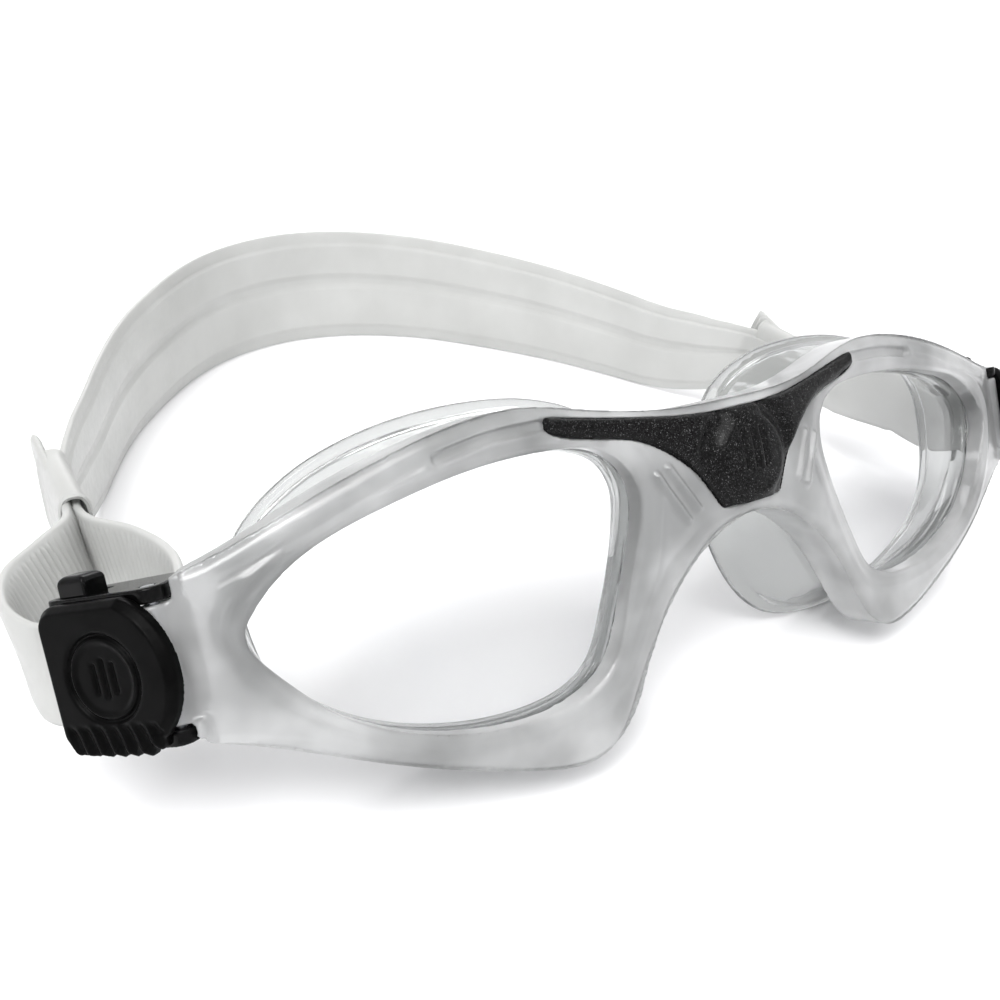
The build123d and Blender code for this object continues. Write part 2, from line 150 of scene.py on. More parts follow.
def depth(curve, x):
    """Height n of a surface curve at x, the same on both sides."""
    points = spline(curve, 0.5)
    return np.interp(np.abs(x), points[:, 0], points[:, 1])


def front_depth(x):
    """Height n of the frame's front surface at x."""
    return depth(FRONT_CURVE, x)


def place(face):
    """(x, v, n) on the leaning face, mm, to the row frame, m."""
    x, v, n = np.asarray(face, float).T
    s, c = math.sin(LEAN), math.cos(LEAN)
    return np.column_stack([x, v * s - n * c - PLAN_MIDDLE, v * c + n * s + FACE_LIFT]) / 1000


def on_face(row):
    """The row frame, m, back to (x, v, n), mm."""
    x, y, z = (np.asarray(row, float) * 1000).T
    y = y + PLAN_MIDDLE
    z = z - FACE_LIFT
    s, c = math.sin(LEAN), math.cos(LEAN)
    return np.column_stack([x, y * s + z * c, z * s - y * c])


def buckle_on_face(h, v, o):
    """Buckle (h, v, o) on the +X side, as (x, v, n) on the face."""
    c, s = math.cos(TURN), math.sin(TURN)
    return np.column_stack([HINGE[0] + c * h + s * o, HINGE[1] + v, HINGE[2] - s * h + c * o])


def in_buckle(face):
    """(x, v, n) on the +X side, as buckle (h, v, o)."""
    c, s = math.cos(TURN), math.sin(TURN)
    x, v, n = face[:, 0] - HINGE[0], face[:, 1] - HINGE[1], face[:, 2] - HINGE[2]
    return np.column_stack([c * x - s * n, v, s * x + c * n])


def from_outline(points, loop):
    """Distance from each (x, v) point to an outline."""
    best = np.full(len(points), 1e9)
    for a in loop:
        best = np.minimum(best, (points[:, 0] - a[0]) ** 2 + (points[:, 1] - a[1]) ** 2)
    return np.sqrt(best)


def ease(t):
    """Smooth step from 0 to 1."""
    t = np.clip(t, 0, 1)
    return t * t * (3 - 2 * t)


# ---- meshes ---------------------------------------------------------------------------

def piece(name, points, faces, material, slot, sharp=40):
    """A new object from points in metres and faces."""
    mesh = bpy.data.meshes.new(name)
    mesh.from_pydata([tuple(p) for p in points], [], [tuple(f) for f in faces])
    mesh.validate()
    shell = bmesh.new()
    shell.from_mesh(mesh)
    bmesh.ops.recalc_face_normals(shell, faces=shell.faces)
    shell.to_mesh(mesh)
    shell.free()
    obj = bpy.data.objects.new(name, mesh)
    bpy.context.scene.collection.objects.link(obj)
    finish_piece(obj, material, sharp)
    return obj


def finish_piece(obj, material, sharp=40):
    """Material and smooth shading with edges sharper than the angle kept crisp."""
    obj.data.materials.clear()
    obj.data.materials.append(material)
    obj.data.shade_smooth()
    obj.data.set_sharp_from_angle(angle=math.radians(sharp))


def applied(obj):
    """The object's mesh with its modifiers worked in."""
    bpy.context.view_layer.update()
    graph = bpy.context.evaluated_depsgraph_get()
    mesh = bpy.data.meshes.new_from_object(obj.evaluated_get(graph))
    obj.modifiers.clear()
    obj.data = mesh
    return obj


def moulded(node, name, voxel, rounds, material):
    """A CAD node's shape as one dense skin whose edges are softened like a moulding's."""
    mesh = NODES[node].data.copy()
    obj = bpy.data.objects.new(name, mesh)
    bpy.context.scene.collection.objects.link(obj)
    weld = obj.modifiers.new("weld", "WELD")
    weld.merge_threshold = 2e-6
    skin = obj.modifiers.new("skin", "REMESH")
    skin.mode = "VOXEL"
    skin.voxel_size = voxel / 1000
    skin.use_smooth_shade = True
    settle = obj.modifiers.new("settle", "SMOOTH")
    settle.iterations = 2
    cling = obj.modifiers.new("cling", "SHRINKWRAP")
    cling.target = NODES[node]
    cling.wrap_method = "NEAREST_SURFACEPOINT"
    soften = obj.modifiers.new("soften", "SMOOTH")
    soften.iterations = rounds
    soften.factor = 0.5
    applied(obj)
    finish_piece(obj, material, 180)
    return obj


def vertices(obj):
    """The mesh's points, one row each."""
    co = np.empty(len(obj.data.vertices) * 3)
    obj.data.vertices.foreach_get("co", co)
    return co.reshape(-1, 3)


def normals(obj):
    """The mesh's point normals, one row each."""
    out = np.empty(len(obj.data.vertices) * 3)
    obj.data.vertex_normals.foreach_get("vector", out)
    return out.reshape(-1, 3)


def reshape(obj, points):
    """Move the mesh's points."""
    obj.data.vertices.foreach_set("co", np.asarray(points).ravel())
    obj.data.update()


def loop_faces(rings, around, closed_rings=False, start=0):
    """Quads between consecutive closed rings of points."""
    faces = []
    for i in range(rings if closed_rings else rings - 1):
        a = start + i * around
        b = start + (i + 1) % rings * around
        for j in range(around):
            k = (j + 1) % around
            faces.append((a + j, a + k, b + k, b + j))
    return faces


def mirrored_piece(side, points, faces):
    """Points and faces of the +X piece, or its mirror image."""
    if side > 0:
        return points, faces
    return points * np.array([-1, 1, 1]), [f[::-1] for f in faces]


# ---- materials ------------------------------------------------------------------------

class Finish:
    """A Principled material whose colour, roughness and relief come from noise."""

    def __init__(self, name, **values):
        self.material = bpy.data.materials.new(name)
        self.material.use_nodes = True
        self.tree = self.material.node_tree
        self.shader = self.tree.nodes["Principled BSDF"]
        self.where = self.tree.nodes.new("ShaderNodeTexCoord").outputs["Object"]
        self.height = None
        for key, value in values.items():
            self.shader.inputs[key.replace("_", " ")].default_value = value

    def add(self, kind, **sockets):
        node = self.tree.nodes.new(kind)
        for key, value in sockets.items():
            socket = node.inputs[key.replace("_", " ")]
            if isinstance(value, bpy.types.NodeSocket):
                self.tree.links.new(value, socket)
            else:
                socket.default_value = value
        return node

    def noise(self, scale, detail=3.0, rough=0.5):
        return self.add("ShaderNodeTexNoise", Vector=self.where, Scale=scale, Detail=detail,
                        Roughness=rough).outputs["Fac"]

    def cells(self, scale):
        return self.add("ShaderNodeTexVoronoi", Vector=self.where, Scale=scale).outputs["Color"]

    def ramp(self, source, stops):
        node = self.add("ShaderNodeValToRGB", Fac=source)
        elements = node.color_ramp.elements
        while len(elements) < len(stops):
            elements.new(0.5)
        for element, (at, colour) in zip(elements, stops):
            element.position = at
            element.color = (*colour, 1) if len(colour) == 3 else colour
        return node.outputs["Color"]

    def range(self, source, low, high, bottom, top):
        return self.add("ShaderNodeMapRange", Value=source, From_Min=low, From_Max=high,
                        To_Min=bottom, To_Max=top).outputs["Result"]

    def link(self, source, socket):
        self.tree.links.new(source, self.shader.inputs[socket])
        return self

    def relief(self, source, depth, strength=1.0):
        bump = self.add("ShaderNodeBump", Height=source, Strength=strength, Distance=depth)
        if self.height is not None:
            self.tree.links.new(self.height, bump.inputs["Normal"])
        self.height = bump.outputs["Normal"]
        self.tree.links.new(self.height, self.shader.inputs["Normal"])
        return self


def grey(value):
    """A neutral grey, a touch cool."""
    return (value, value, value * 1.01)


def make_frosted():
    """Frosted clear plastic: broad soft clouds of grey under a thin glossy skin."""
    f = Finish("frosted_frame", Transmission_Weight=0.6, IOR=1.42, Coat_Weight=0.6, Coat_Roughness=0.1,
               Specular_IOR_Level=0.35)
    tones = [(0.34, (0.34, 0.345, 0.345)), (0.5, (0.54, 0.545, 0.545)), (0.66, (0.78, 0.785, 0.785))]
    f.link(f.ramp(f.noise(75, 3, 0.45), tones), "Base Color")
    f.link(f.range(f.noise(600, 3), 0.3, 0.7, 0.30, 0.40), "Roughness")
    f.relief(f.noise(90, 1), 0.0006, 0.35)
    return f.material


def make_clear(name, tint, rough, wobble, through=1.0):
    """Clear plastic or silicone; wobble is the depth, in metres, of its slow surface waves."""
    paler = tuple(min(1.0, c + 0.04) for c in tint)
    f = Finish(name, Transmission_Weight=through, IOR=1.41, Coat_Weight=0.0, Roughness=rough)
    f.link(f.ramp(f.noise(60, 2), [(0.3, tint), (0.7, paler)]), "Base Color")
    f.link(f.range(f.noise(500, 3), 0.3, 0.7, rough * 0.6, rough * 1.5), "Roughness")
    f.relief(f.noise(140, 2), wobble, 0.6)
    return f.material


def make_fleck():
    """Near-black plastic with fine metallic flecks."""
    f = Finish("fleck_insert", Coat_Weight=0.09, Coat_Roughness=0.08, IOR=1.45, Specular_IOR_Level=0.06)
    flecks = [(0.0, grey(0.003)), (0.66, grey(0.006)), (0.84, grey(0.03)), (1.0, grey(0.16))]
    f.link(f.ramp(f.cells(9000), flecks), "Base Color")
    f.link(f.range(f.noise(1800, 3), 0.3, 0.7, 0.24, 0.36), "Roughness")
    f.relief(f.noise(2500, 2), 0.000002, 0.4)
    return f.material


def make_black(name, rough, coat):
    """Black plastic."""
    f = Finish(name, Coat_Weight=coat, Coat_Roughness=0.08, IOR=1.4, Specular_IOR_Level=0.06)
    f.link(f.ramp(f.noise(300, 3), [(0.3, grey(0.001)), (0.7, grey(0.003))]), "Base Color")
    f.link(f.range(f.noise(1500, 4), 0.3, 0.7, rough * 0.8, rough * 1.3), "Roughness")
    f.relief(f.noise(3000, 3), 0.000004, 0.5)
    return f.material


def make_milky():
    """Milky silicone that lets a little light through."""
    f = Finish("milky_strap", Transmission_Weight=0.35, IOR=1.41, Specular_IOR_Level=0.4)
    f.link(f.ramp(f.noise(60, 3), [(0.3, (0.60, 0.605, 0.59)), (0.7, (0.68, 0.685, 0.67))]), "Base Color")
    f.link(f.range(f.noise(700, 4), 0.3, 0.7, 0.30, 0.46), "Roughness")
    f.relief(f.noise(3000, 3), 0.000004, 0.5)
    f.relief(f.noise(90, 2), 0.0003, 0.3)
    return f.material


def make_steel():
    """Stainless steel for pins and springs."""
    f = Finish("steel_pin", Metallic=1.0, Base_Color=(0.56, 0.57, 0.6, 1))
    f.link(f.range(f.noise(2500, 4), 0.3, 0.7, 0.22, 0.4), "Roughness")
    f.relief(f.noise(3000, 2), 0.000004, 0.5)
    return f.material


FROSTED = make_frosted()
LENS_CLEAR = make_clear("clear_lens", (0.97, 0.975, 0.98), 0.015, 0.00002)
SKIRT_CLEAR = make_clear("clear_skirt", (0.60, 0.61, 0.605), 0.06, 0.0003, 0.86)
FLECK = make_fleck()
BLACK = make_black("black_plastic", 0.36, 0.0)
GLOSS = make_black("black_gloss", 0.12, 0.22)
MILKY = make_milky()
STEEL = make_steel()


# ---- front frame ------------------------------------------------------------------------

def rounding(distance, radius):
    """How far a surface drops within a rounded edge."""
    inside = np.clip(radius - distance, 0, radius)
    return radius - np.sqrt(radius ** 2 - inside ** 2)


# Edge rounds and reliefs of the frame, in mm.
EDGE_ROUND, OPENING_ROUND, BACK_ROUND = 1.7, 0.8, 0.9
RIM_HIGH, RIM_HALF = 0.22, 0.6
RIB_HIGH, RIB_HALF = 0.85, 0.5
RIBS = [((14.9, 33.9), (11.4, 27.4)), ((13.0, 34.6), (9.6, 28.6))]
CHANNEL_HALF, CHANNEL_DEEP = 1.0, 0.8
BROW_HALF, BROW_DEEP = 0.55, 0.3
FRONT_END, BACK_END = 72.5, 70.0      # the true surfaces stop here, short of the knuckles


def rib_relief(flat):
    """Height of the two short ribs beside the nose."""
    height = np.zeros(len(flat))
    for start, end in RIBS:
        a, b = np.array(start), np.array(end)
        t = np.clip(((flat - a) @ (b - a)) / ((b - a) @ (b - a)), 0, 1)
        d = np.linalg.norm(flat - a - t[:, None] * (b - a), axis=1)
        height += RIB_HIGH * np.exp(-(d / RIB_HALF) ** 2)
    return height


def carve_frame(obj):
    """True front and back surfaces, rounded edges, rims, the brow groove and two ribs by the nose."""
    face = on_face(vertices(obj))
    x, v, n = np.abs(face[:, 0]), face[:, 1], face[:, 2]
    flat = np.column_stack([x, v])
    outward = on_face(normals(obj) / 1000 + place([[0, 0, 0]]))[:, 2]
    gap = from_outline(flat, spline(OPENING, 0.25, closed=True))
    outer = from_outline(flat, spline(FRAME_EDGE, 0.3))
    groove = from_outline(flat, spline(CHANNEL, 0.2))
    brow = from_outline(flat, spline(BROW_LINE, 0.2))
    rim = 2.0 + 0.8 * ease((34 - x) / 14)
    crest = RIM_HIGH * np.exp(-((gap - rim) / RIM_HALF) ** 2) * ease((outer - 1) / 1.5)
    grooves = CHANNEL_DEEP * ease((CHANNEL_HALF - groove) / 0.5)
    grooves += BROW_DEEP * np.exp(-(brow / BROW_HALF) ** 2)
    surface = front_depth(x)
    shaped = surface - rounding(outer, EDGE_ROUND) - rounding(gap, OPENING_ROUND)
    shaped += crest + rib_relief(flat) - grooves
    faces_front = ease((outward - 0.25) / 0.25) * (n > surface - 1.15) * (x < FRONT_END)
    n = n + (shaped - n) * faces_front
    surface = depth(BACK_CURVE, x)
    faces_back = ease((-outward - 0.4) / 0.3) * (n < surface + 0.6) * (x < BACK_END)
    n = n + (surface + rounding(outer, BACK_ROUND) - n) * faces_back
    face[:, 2] = n
    reshape(obj, place(face))
    calm = obj.modifiers.new("calm", "SMOOTH")
    calm.iterations = 3
    applied(obj)
    finish_piece(obj, FROSTED, 180)
    return obj


front = carve_frame(moulded("front_frame", "frame_moulding", 0.33, 8, FROSTED))
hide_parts("front_frame")
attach(front, "front")


INSERT_PROUD, CROWN = 0.5, 0.45        # CAD height over the frame, and what the crown adds
ARM_END, ARM_ROUND = 28.3, 1.2
BOSS_V, BOSS_R, VALLEY_DEEP = 33.6, 6.4, 0.75
MARK_V, MARK_HALF, MARK_PITCH, MARK_DEEP = 34.6, 3.1, 1.7, 0.5    # the three grooves


def carve_insert(obj):
    """Crowned arms, a raised boss with a valley round it, and three plain grooves on the boss."""
    face = on_face(vertices(obj))
    x, v, n = face.T
    surface = front_depth(x) + INSERT_PROUD
    flat = np.column_stack([np.abs(x), v])
    edges = np.vstack([spline(INSERT_TOP, 0.2), spline(INSERT_LOW, 0.2)])
    border = np.minimum(from_outline(flat, edges), np.maximum(ARM_END - flat[:, 0], 0))
    top = ease((n - surface + 0.5) / 0.4)
    groove = np.zeros(len(x))
    for k in (-1, 0, 1):
        inside = ease((MARK_HALF - np.abs(v - MARK_V)) / 0.5)
        groove += inside * np.exp(-((x - k * MARK_PITCH) / 0.36) ** 2)
    reach = np.hypot(x, v - BOSS_V)
    boss = 0.55 * ease((BOSS_R - reach) / 1.4) + 0.35 * ease((BOSS_R - 0.8 - reach) / 5.0)
    valley = VALLEY_DEEP * np.exp(-((reach - BOSS_R - 1.0) / 1.3) ** 2) * ease((np.abs(x) - 2.0) / 2.0)
    face[:, 2] = n + top * (CROWN + boss - valley - rounding(border, ARM_ROUND) - MARK_DEEP * groove)
    reshape(obj, place(face))
    return obj


insert = carve_insert(moulded("bridge_insert", "nose_insert", 0.2, 4, FLECK))
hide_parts("bridge_insert")
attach(insert, "front")


# ---- skirts and lenses --------------------------------------------------------------------

AROUND = 200
FLANGE_FRONT = 5.05       # behind the frame's front surface
FLANGE_BACK = 7.5
WALL = 1.3
REAR_N, REAR_SLOPE = -15.2, 0.05      # plane of the skirt's rear edge
BOW = 0.9                 # the funnel's wall bulges forward by this much at mid-length
# The rolled rear edge: share of the funnel's length, how far inside its outer wall, and lift.
ROLL = [
    (0.94, -0.25, 0.1), (0.965, -0.45, 0.1), (0.99, -0.5, 0.0), (1.01, -0.25, -0.1),
    (1.02, 0.4, -0.3), (1.015, 1.1, -0.25), (0.99, 1.6, 0.0), (0.955, 1.6, 0.1),
]


def skirt_mesh():
    """One eye's skirt: clamped flange, flaring funnel and a rolled edge against the face."""
    angles = np.linspace(-math.pi, math.pi, AROUND, endpoint=False)
    opening = spline(OPENING, 0.25, closed=True)
    rear = by_angle(spline(SKIRT_REAR, 0.4, closed=True), REAR_CENTRE, angles)
    rear_n = REAR_N - REAR_SLOPE * (rear[:, 0] - 38)
    spokes = rear - REAR_CENTRE
    reach = np.linalg.norm(spokes, axis=1)
    rings = []

    def ring(offset, n):
        flat = by_angle(grown(opening, offset), EYE_CENTRE, angles)
        rings.append(np.column_stack([flat, front_depth(flat[:, 0]) - n]))

    def funnel(t, inward, lift=0.0):
        root = by_angle(grown(opening, 1.1 - inward), EYE_CENTRE, angles)
        root_n = front_depth(root[:, 0]) - FLANGE_BACK + 0.5
        shrunk = REAR_CENTRE + spokes * (1 - inward / reach)[:, None]
        flat = root * (1 - t) + shrunk * t
        height = root_n * (1 - t) + rear_n * t + BOW * math.sin(math.pi * t) + lift
        rings.append(np.column_stack([flat, height]))

    for offset, n in ((0.25, FLANGE_FRONT + 0.15), (0.4, FLANGE_FRONT), (1.9, FLANGE_FRONT),
                      (2.1, FLANGE_FRONT + 0.2), (2.1, FLANGE_BACK - 0.3), (1.9, FLANGE_BACK - 0.1)):
        ring(offset, n)
    for t in np.linspace(0.06, 0.9, 12):
        funnel(t, 0)
    for t, inward, lift in ROLL:
        funnel(t, inward, lift)
    for t in np.linspace(0.92, 0.05, 12):
        funnel(t, WALL)
    return np.vstack(rings), loop_faces(len(rings), AROUND, closed_rings=True)


for name, side in SIDES:
    points, faces = skirt_mesh()
    points, faces = mirrored_piece(side, place(points), faces)
    skirt = piece(f"face_skirt_{name}", points, faces, SKIRT_CLEAR, "clear_skirt", 60)
    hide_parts(f"skirt_{name}")
    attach(skirt, "front")


LENS_FRONT, LENS_BACK = 3.25, 4.98    # behind the frame's front surface
LENS_EDGE = 1.1                       # the lens reaches this far past the opening


def lens_mesh():
    """A gently curved lens with polished, bevelled edges."""
    angles = np.linspace(-math.pi, math.pi, AROUND, endpoint=False)
    edge = by_angle(grown(spline(OPENING, 0.25, closed=True), LENS_EDGE), EYE_CENTRE, angles)
    rings = []
    shares = [(s, LENS_FRONT) for s in np.linspace(0.06, 0.985, 16)]
    shares += [(1.0, LENS_FRONT + 0.3), (1.0, LENS_BACK - 0.28)]
    shares += [(s, LENS_BACK) for s in np.linspace(0.985, 0.06, 16)]
    for share, n in shares:
        flat = EYE_CENTRE + (edge - EYE_CENTRE) * share
        rings.append(np.column_stack([flat, front_depth(flat[:, 0]) - n]))
    middle = front_depth(EYE_CENTRE[0])
    points = np.vstack(rings + [[[*EYE_CENTRE, middle - LENS_FRONT]], [[*EYE_CENTRE, middle - LENS_BACK]]])
    faces = loop_faces(len(rings), AROUND)
    last = (len(rings) - 1) * AROUND
    near, far = len(points) - 2, len(points) - 1
    for j in range(AROUND):
        k = (j + 1) % AROUND
        faces.append((k, j, near))
        faces.append((last + j, last + k, far))
    return points, faces


for name, side in SIDES:
    points, faces = lens_mesh()
    points, faces = mirrored_piece(side, place(points), faces)
    lens = piece(f"eye_lens_{name}", points, faces, LENS_CLEAR, "clear_lens", 30)
    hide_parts(f"lens_{name}")
    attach(lens, "front")


# ---- buckles ------------------------------------------------------------------------------

COVER_FACE = 3.2          # the cover's outer face, above this o, is engraved
RING_AT, RING_R, RING_CUT = 5.2, 4.7, 0.30
DISH_R, DISH_CUT = 4.3, 0.30
SLOT_HALF, SLOT_PITCH, SLOT_CUT = 2.4, 1.3, 0.32      # the three grooves
TEETH_FROM, TEETH_TO = -1.5, 12.2                     # the slanting grip teeth, along h
TEETH_TOP, TEETH_EDGE = -4.6, -6.2                    # and along v
TOOTH_PITCH, TOOTH_DEEP, TOOTH_STEP = 1.9, 0.42, 0.75


def carve_cover(obj, side):
    """Engraved ring, three plain grooves inside it, and slanting grip teeth along the lower edge."""
    face = on_face(vertices(obj))
    face[:, 0] *= side
    part = in_buckle(face)
    h, v, o = part.T
    top = ease((o - COVER_FACE) / 0.4)
    radius = np.hypot(h - RING_AT, v)
    cut = RING_CUT * np.exp(-((radius - RING_R) / 0.34) ** 2)
    dish = DISH_CUT * ease((DISH_R - radius) / 0.8)
    for k in (-1, 0, 1):
        inside = ease((SLOT_HALF - abs(k) * 0.5 - np.abs(v)) / 0.4)
        cut = cut + SLOT_CUT * inside * np.exp(-((h - RING_AT - SLOT_PITCH * k) / 0.3) ** 2)
    wave = 0.5 + 0.5 * np.cos(2 * math.pi * (h - 0.35 * v) / TOOTH_PITCH)
    low = ease((TEETH_TOP - v) / 1.2) * ease((TEETH_TO - h) / 0.8) * ease((h - TEETH_FROM) / 0.8)
    part[:, 2] = o - top * (cut + dish + TOOTH_DEEP * wave * low)
    part[:, 1] = v - TOOTH_STEP * (1 - wave) * low * ease((TEETH_EDGE - v) / 1.2)
    face = buckle_on_face(*part.T)
    face[:, 0] *= side
    reshape(obj, place(face))
    return obj


SPRING_LOW, SPRING_TOP = -6.6, 2.25   # ends of the release spring, in the buckle frame
SPRING_H, SPRING_O = 11.0, -1.9
SPRING_TURNS, SPRING_R, SPRING_WIRE = 7.0, 0.6, 0.14


def coil():
    """A round-wire compression spring with its ends closed flat, in the row frame on the +X side."""
    section = 10
    a = np.linspace(0, 2 * math.pi * SPRING_TURNS, 337)
    low, high = SPRING_LOW + SPRING_WIRE, SPRING_TOP - SPRING_WIRE
    share = (a - 1.0) / (a[-1] - 2.0)
    rise = 0.3 * ease(share) + 0.7 * np.clip(share, 0, 1)
    middle = np.column_stack([SPRING_H + SPRING_R * np.cos(a), low + (high - low) * rise,
                              SPRING_O + SPRING_R * np.sin(a)])
    along = np.gradient(middle, axis=0)
    along /= np.linalg.norm(along, axis=1)[:, None]
    out = np.column_stack([np.cos(a), np.zeros(len(a)), np.sin(a)])
    third = np.cross(along, out)
    phi = np.linspace(0, 2 * math.pi, section, endpoint=False)
    circle = np.cos(phi)[None, :, None] * out[:, None] + np.sin(phi)[None, :, None] * third[:, None]
    rings = middle[:, None] + SPRING_WIRE * circle
    faces = loop_faces(len(a), section)
    faces.append(tuple(range(section))[::-1])
    faces.append(tuple(range((len(a) - 1) * section, len(a) * section)))
    return place(buckle_on_face(*rings.reshape(-1, 3).T)), faces


def spring_end(v, side):
    """Row-frame point on the spring's axis."""
    point = Vector(place(buckle_on_face(*np.array([[SPRING_H], [v], [SPRING_O]])))[0])
    point.x *= side
    return point


CARRIED = (("pawl", BLACK), ("strap_bar", BLACK), ("hinge_pin", STEEL), ("pawl_pin", STEEL))

for name, side in SIDES:
    cover = moulded(f"buckle_cover_{name}", f"cover_{name}", 0.17, 3, BLACK)
    cover = carve_cover(cover, side)
    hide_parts(f"buckle_cover_{name}")
    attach(cover, f"buckle_{name}")
    base = moulded(f"buckle_base_{name}", f"base_{name}", 0.18, 5, GLOSS)
    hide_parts(f"buckle_base_{name}")
    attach(base, f"buckle_{name}")
    nub = moulded(f"release_button_{name}", f"release_nub_{name}", 0.13, 16, GLOSS)
    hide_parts(f"release_button_{name}")
    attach(nub, f"button_{name}")
    spring = piece(f"press_spring_{name}", *mirrored_piece(side, *coil()), STEEL, "steel_pin", 60)
    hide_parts(f"button_spring_{name}")
    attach(spring, f"buckle_{name}")
    floor_point = spring_end(SPRING_LOW, side)
    top_point = spring_end(SPRING_TOP, side)
    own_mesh(spring)
    for node, material in CARRIED:
        data = NODES[f"{node}_{name}"].data
        data.materials.clear()
        data.materials.append(material)


# ---- straps ---------------------------------------------------------------------------------

def ribbon(stations, thick, outer, inner, step, side, section=26):
    """A closed strip through (x, y, z, width, lean, tip) stations.

    outer and inner give the relief of its two faces from (u, s): u runs from -1 at the lower
    edge to 1 at the upper, and s is the length along the strip in mm.
    """
    rows = spline(stations, step)
    centre = rows[:, :3] - np.array([0, PLAN_MIDDLE, 0])
    along = np.gradient(centre, axis=0)
    along /= np.linalg.norm(along, axis=1)[:, None]
    across = np.column_stack([rows[:, 4], rows[:, 5], np.ones(len(rows))])
    across -= np.sum(across * along, axis=1)[:, None] * along
    across /= np.linalg.norm(across, axis=1)[:, None]
    out = np.cross(along, across)
    s = np.r_[0, np.cumsum(np.linalg.norm(np.diff(centre, axis=0), axis=1))]
    phi = np.linspace(-math.pi / 2, math.pi / 2, section)
    u_side = np.sin(phi)
    u = np.r_[u_side, u_side[::-1]]
    sign = np.r_[np.ones(section), -np.ones(section)]
    swell = np.clip(1 - np.abs(u) ** 9, 0, 1) ** 0.32
    points = []
    for i in range(len(rows)):
        relief = np.where(sign > 0, outer(u, s[i]), inner(u, s[i])) * swell
        end = min(1.0, math.sqrt(max(min(s[i], s[-1] - s[i]), 0.02) / 0.6))
        half = thick / 2 * swell * end + relief
        wide = rows[i, 3] / 2 - 0.25 * (1 - end)
        points.append(centre[i] + np.outer(u * wide, across[i]) + np.outer(sign * half, out[i]))
    around = 2 * section
    rings = len(rows)
    faces = loop_faces(rings, around)
    faces.append(tuple(range(around))[::-1])
    faces.append(tuple(range((rings - 1) * around, rings * around)))
    points = np.vstack(points) / 1000
    if side < 0:
        points = points * np.array([-1, 1, 1])
        faces = [f[::-1] for f in faces]
    return points, faces


RIB_DEEP, RIB_PITCH = 0.42, 1.3
BAND_HIGH, BAND_LOW_FACE = 0.45, 0.15       # the two lengthwise bands, and how far the rest sinks


def plain(u, s):
    """No relief."""
    return 0 * u


def ribbed(u, s):
    """Fine cross ribs, a little over a millimetre apart."""
    return RIB_DEEP * (abs(math.sin(math.pi * s / RIB_PITCH)) - 0.5) * ease((0.86 - np.abs(u)) / 0.1)


def banded(u, s):
    """Two raised lengthwise bands with a groove between them."""
    band = ease((np.abs(u - 0.1) - 0.07) / 0.05) * ease((0.80 - np.abs(u)) / 0.05)
    return BAND_HIGH * band - BAND_LOW_FACE


def row_mm(h, v, o):
    """A buckle point on the +X side in row millimetres, with y still measured from the face."""
    p = place(buckle_on_face(np.array([h]), np.array([v]), np.array([o])))[0] * 1000
    return p + np.array([0, PLAN_MIDDLE, 0])


def wrap_point(degrees):
    """A point on the strap's mid-line round the bar."""
    a = math.radians(degrees)
    return row_mm(BAR_H + WRAP_RADIUS * math.cos(a), 0, BAR_O + WRAP_RADIUS * math.sin(a))


WIDE = 12.0
STRAP_THICK, BAND_THICK = 1.45, 1.75
STRAP_STEP, BAND_STEP = 0.22, 0.7     # mesh step along the strap; it has to resolve the fine ribs
UPRIGHT = math.tan(LEAN)   # the strap at the buckle stands square to the leaning face
# Stations past the buckle: x, y from the face, z, width, lean and tip.
RUN_PATH = [
    (70.0, 36, 21.6, WIDE, 0, 0.2), (71.8, 47, 19.5, WIDE, 0, 0.1), (75.2, 57, 17.0, WIDE, 0.05, 0),
    (76.5, 62.5, 16.4, WIDE, 0.05, 0), (76.4, 68.0, 16.0, WIDE, 0, 0),
]
TAIL_PATH = [
    (87.0, 32.0, 19.8, WIDE, 0, 0.25), (88.0, 38.0, 20.0, WIDE, 0.14, 0),
    (85.8, 45.0, 19.3, WIDE, 0.38, 0.1), (81.4, 52.5, 17.9, WIDE, 0.42, 0.1),
    (78.3, 58.5, 17.2, WIDE, 0.16, 0), (77.9, 64, 17.0, WIDE, 0.05, 0),
    (78.2, 73.0, 17.6, WIDE, 0.05, 0), (78.9, 83.0, 20.6, WIDE, 0.05, -0.2),
]
# The head band in plan, and the heights of its two edges along y.
BAND_PATH = [(75.4, 66), (76.2, 78), (68.4, 104), (52.6, 136), (28, 164.5), (0, 174.5)]
BAND_TOP = [(66, 22.0), (80, 22.8), (104, 22.2), (136, 26.2), (160, 28.6), (175, 30.0)]
BAND_LOW = [(66, 10.0), (80, 9.4), (92, 3.0), (104, 0), (175, 0)]


def run_stations():
    """The ribbed end from the bar back to the keeper, nearest the head."""
    start = wrap_point(232)
    rows = [(*start, WIDE, 0, UPRIGHT)]
    rows.append((start[0], start[1] + 3.6, start[2] - 1.8, WIDE, 0, UPRIGHT))
    return rows + RUN_PATH


def tail_stations():
    """Round the bar, out under the cover, and round the loose loop back to the keeper."""
    rows = [(*wrap_point(a), WIDE, 0, UPRIGHT) for a in (225, 200, 175, 150, 125, 105)]
    top = wrap_point(105)
    for reach in (4.5, 8.5, 12.6):
        h = reach * math.cos(TAIL_SLOPE)
        o = reach * math.sin(TAIL_SLOPE)
        step = row_mm(h, 0, o) - row_mm(0, 0, 0)
        rows.append((*(top + step), WIDE, 0, UPRIGHT))
    return rows + TAIL_PATH


def band_stations():
    """The wide band from one keeper round behind the head to the other."""
    both = BAND_PATH + [(-x, y) for x, y in BAND_PATH[::-1][1:]]
    rows = []
    for x, y in spline(both, 6.0):
        high = np.interp(y, *np.array(BAND_TOP).T)
        base = np.interp(y, *np.array(BAND_LOW).T)
        rows.append((x, y, (high + base) / 2, high - base - 0.2, 0, 0))
    return rows


